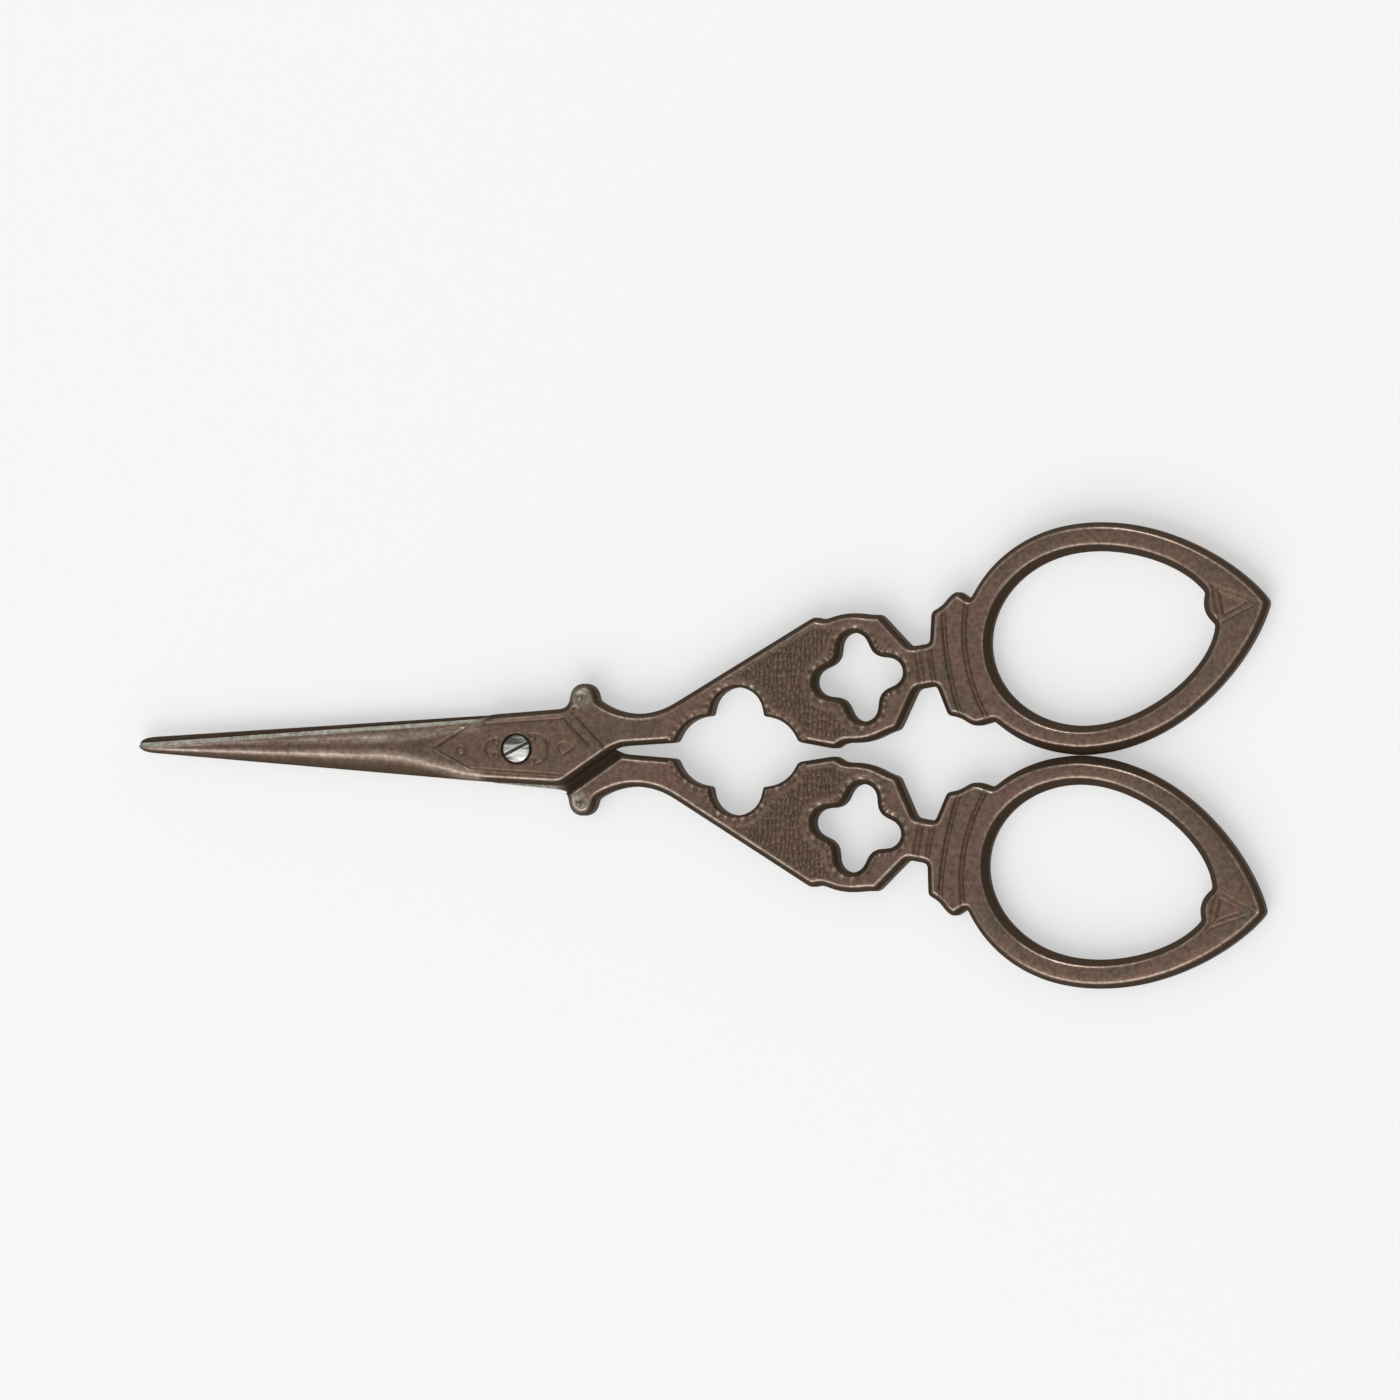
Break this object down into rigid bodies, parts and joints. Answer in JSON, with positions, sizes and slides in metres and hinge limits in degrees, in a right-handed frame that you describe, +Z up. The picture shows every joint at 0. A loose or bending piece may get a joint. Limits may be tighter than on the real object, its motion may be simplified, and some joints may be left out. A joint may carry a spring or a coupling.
{
  "type": "embroidery scissors",
  "caption": "Small embroidery scissors with slender pointed blades, a slotted pivot screw, pierced ornamental shanks and pointed oval finger bows.",
  "frame": {"origin": "on the pivot axis, in the plane that the closed scissors lie on", "axes": "+X from the tips towards the finger bows, +Y towards the front half's handle, +Z up out of the screw's head"},
  "size_m": [0.1151, 0.0466, 0.0035],
  "materials": {
    "bronze_finish": "antique bronze plating over forged steel, satin",
    "bright_steel": "polished"
  },
  "bodies": {
    "back_half": {"back_half": "bronze_finish", "pivot_screw": "bright_steel"},
    "front_half": {"front_half": "bronze_finish"}
  },
  "joints": [
    {"name": "pivot", "type": "hinge", "parent": "back_half", "child": "front_half", "pos_m": [0, 0, 0], "axis": [0, 0, 1], "range_deg": [0, 108]}
  ]
}
